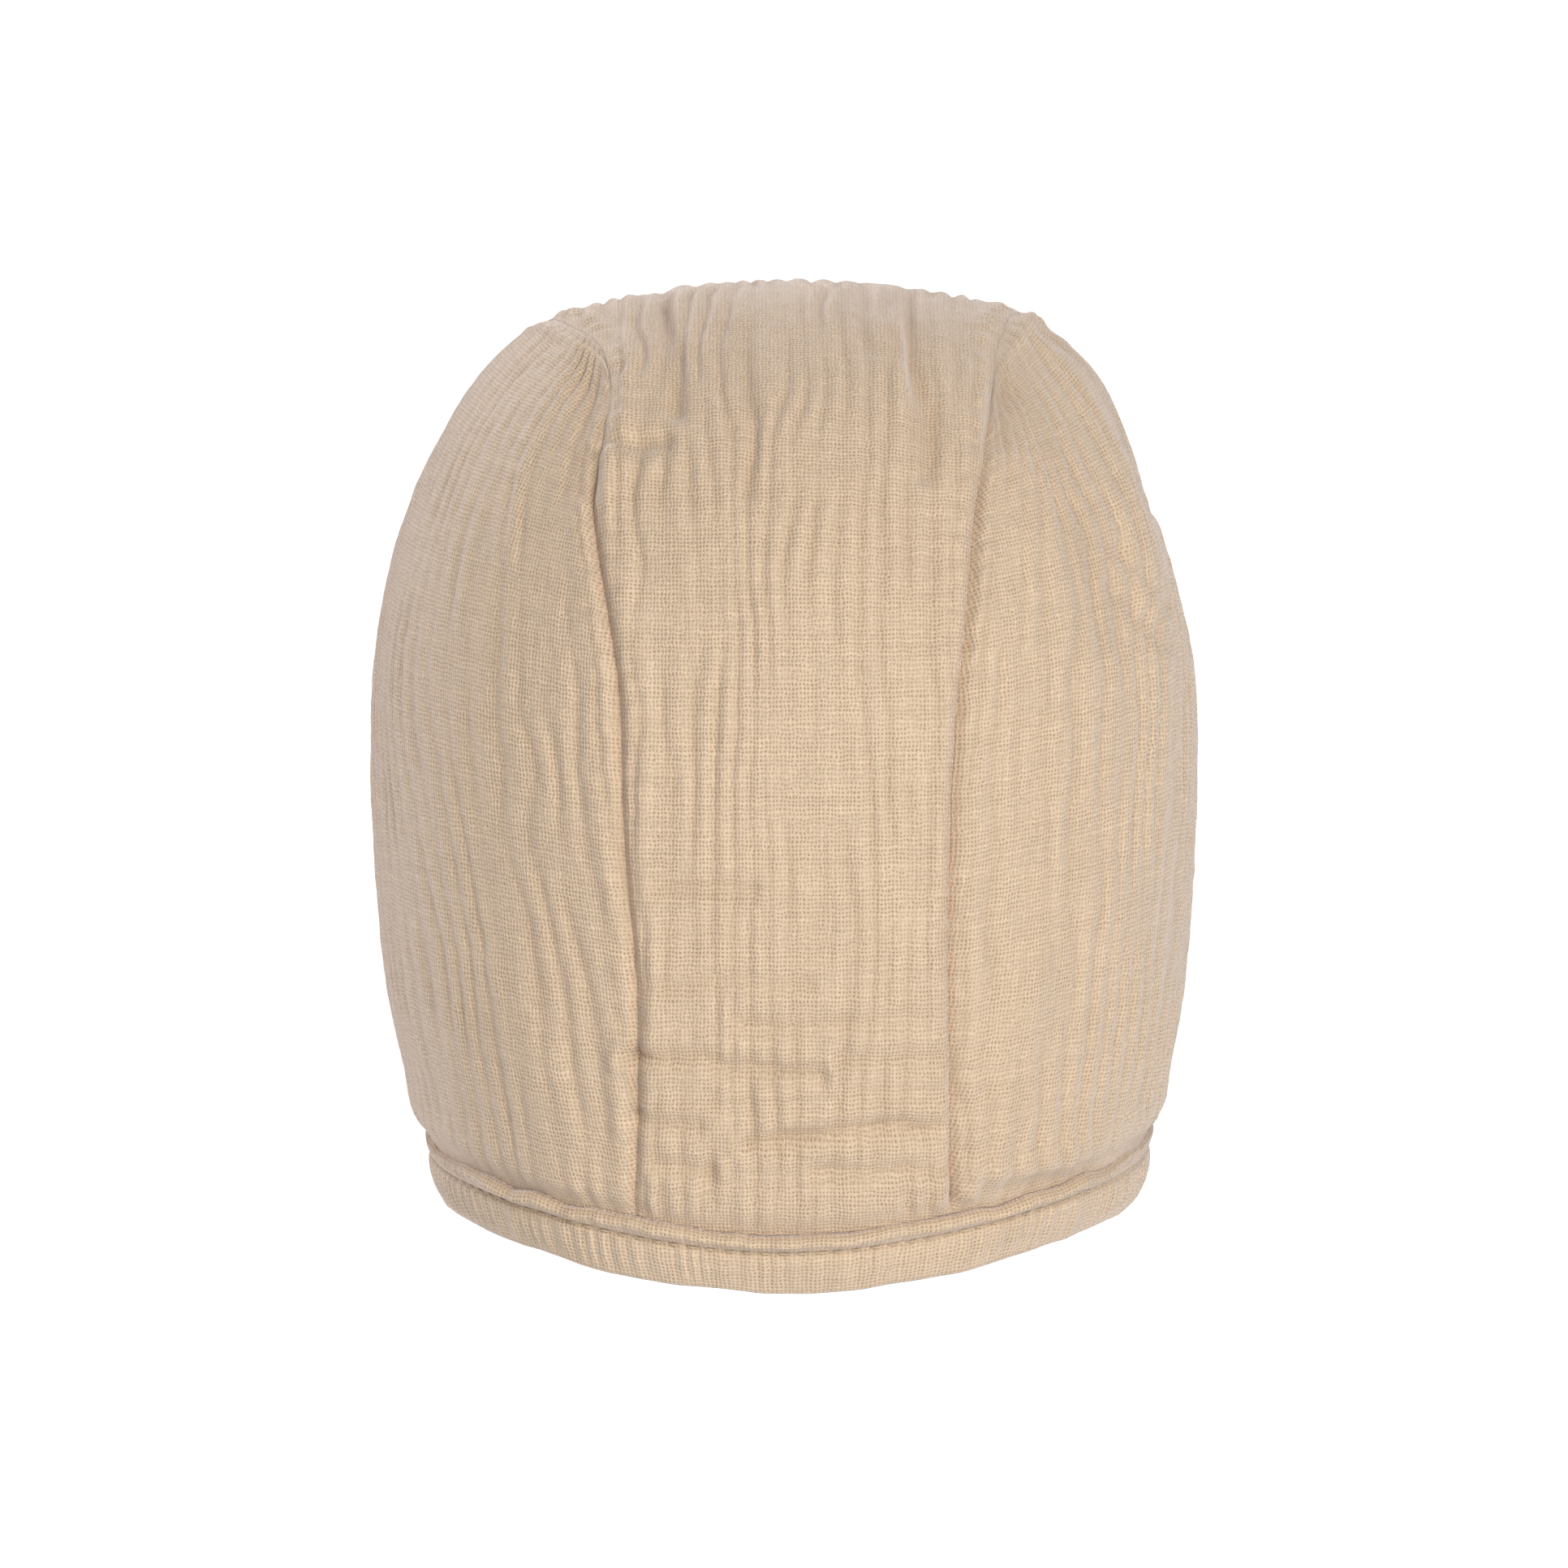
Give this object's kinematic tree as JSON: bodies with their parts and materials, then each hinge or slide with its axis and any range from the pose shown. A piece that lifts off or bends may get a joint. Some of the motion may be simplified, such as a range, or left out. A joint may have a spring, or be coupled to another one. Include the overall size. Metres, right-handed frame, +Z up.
{
  "type": "baby nightcap",
  "caption": "Close-fitting child's nightcap of crinkled gauze: a centre panel over the crown, two side panels, and folded bindings round the face and neck edges.",
  "frame": {"origin": "inside of the crown, where the top of the wearer's head sits", "axes": "+Z up out of the crown, -Y towards the nape, +Y out of the face opening, +X towards the wearer's right"},
  "size_m": [0.1408, 0.1311, 0.1644],
  "materials": {
    "gauze": "matte crinkled double gauze",
    "binding": "matte double gauze, folded and stitched"
  },
  "bodies": {
    "root": {"centre_panel": "gauze", "right_side_panel": "gauze", "left_side_panel": "gauze", "neck_binding": "binding", "face_binding": "binding"}
  },
  "joints": []
}
